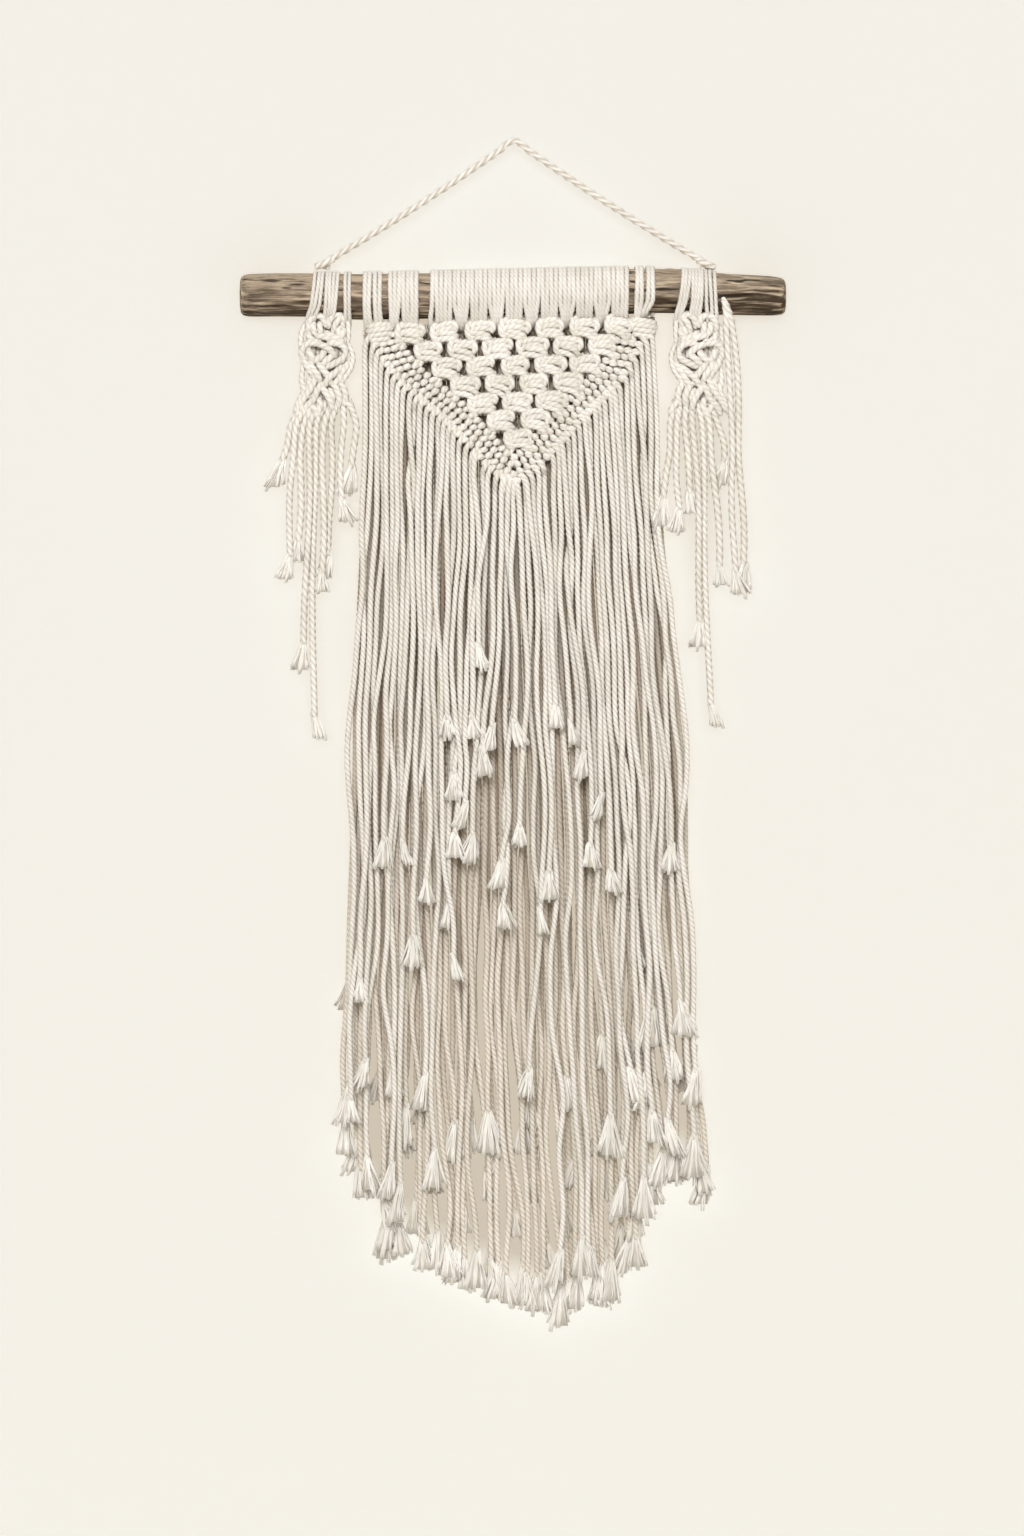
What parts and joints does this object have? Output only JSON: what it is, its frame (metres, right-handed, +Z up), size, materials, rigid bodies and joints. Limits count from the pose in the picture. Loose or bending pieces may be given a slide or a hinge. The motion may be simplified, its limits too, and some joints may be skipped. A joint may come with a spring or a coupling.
{
  "type": "macrame wall hanging on a wooden branch",
  "caption": "V-shaped net of square knots on a wooden branch, with layers of long cotton fringe, braids with their own fringe at its sides, and a cord to hang it by",
  "frame": {"origin": "where the hanger cord bends over the hook in the wall, at the middle and top of the object", "axes": "+Z up, the long way of the hanging strands; +X to the right along the branch; +Y into the wall, the thin way"},
  "size_m": [0.408, 0.0416, 0.8858],
  "materials": {
    "cotton_cord": "undyed three-ply twisted cotton, matt",
    "hanger_cord": "thicker twisted cotton, matt",
    "weathered_wood": "unvarnished weathered stick, matt"
  },
  "bodies": {
    "root": {"branch": "weathered_wood", "hanger_cord": "hanger_cord", "hanger_knot_left": "hanger_cord", "hanger_knot_right": "hanger_cord", "knotted_panel": "cotton_cord", "front_fringe": "cotton_cord", "back_fringe": "cotton_cord", "left_braid": "cotton_cord", "left_fringe": "cotton_cord", "right_braid": "cotton_cord", "right_fringe": "cotton_cord"}
  },
  "joints": []
}
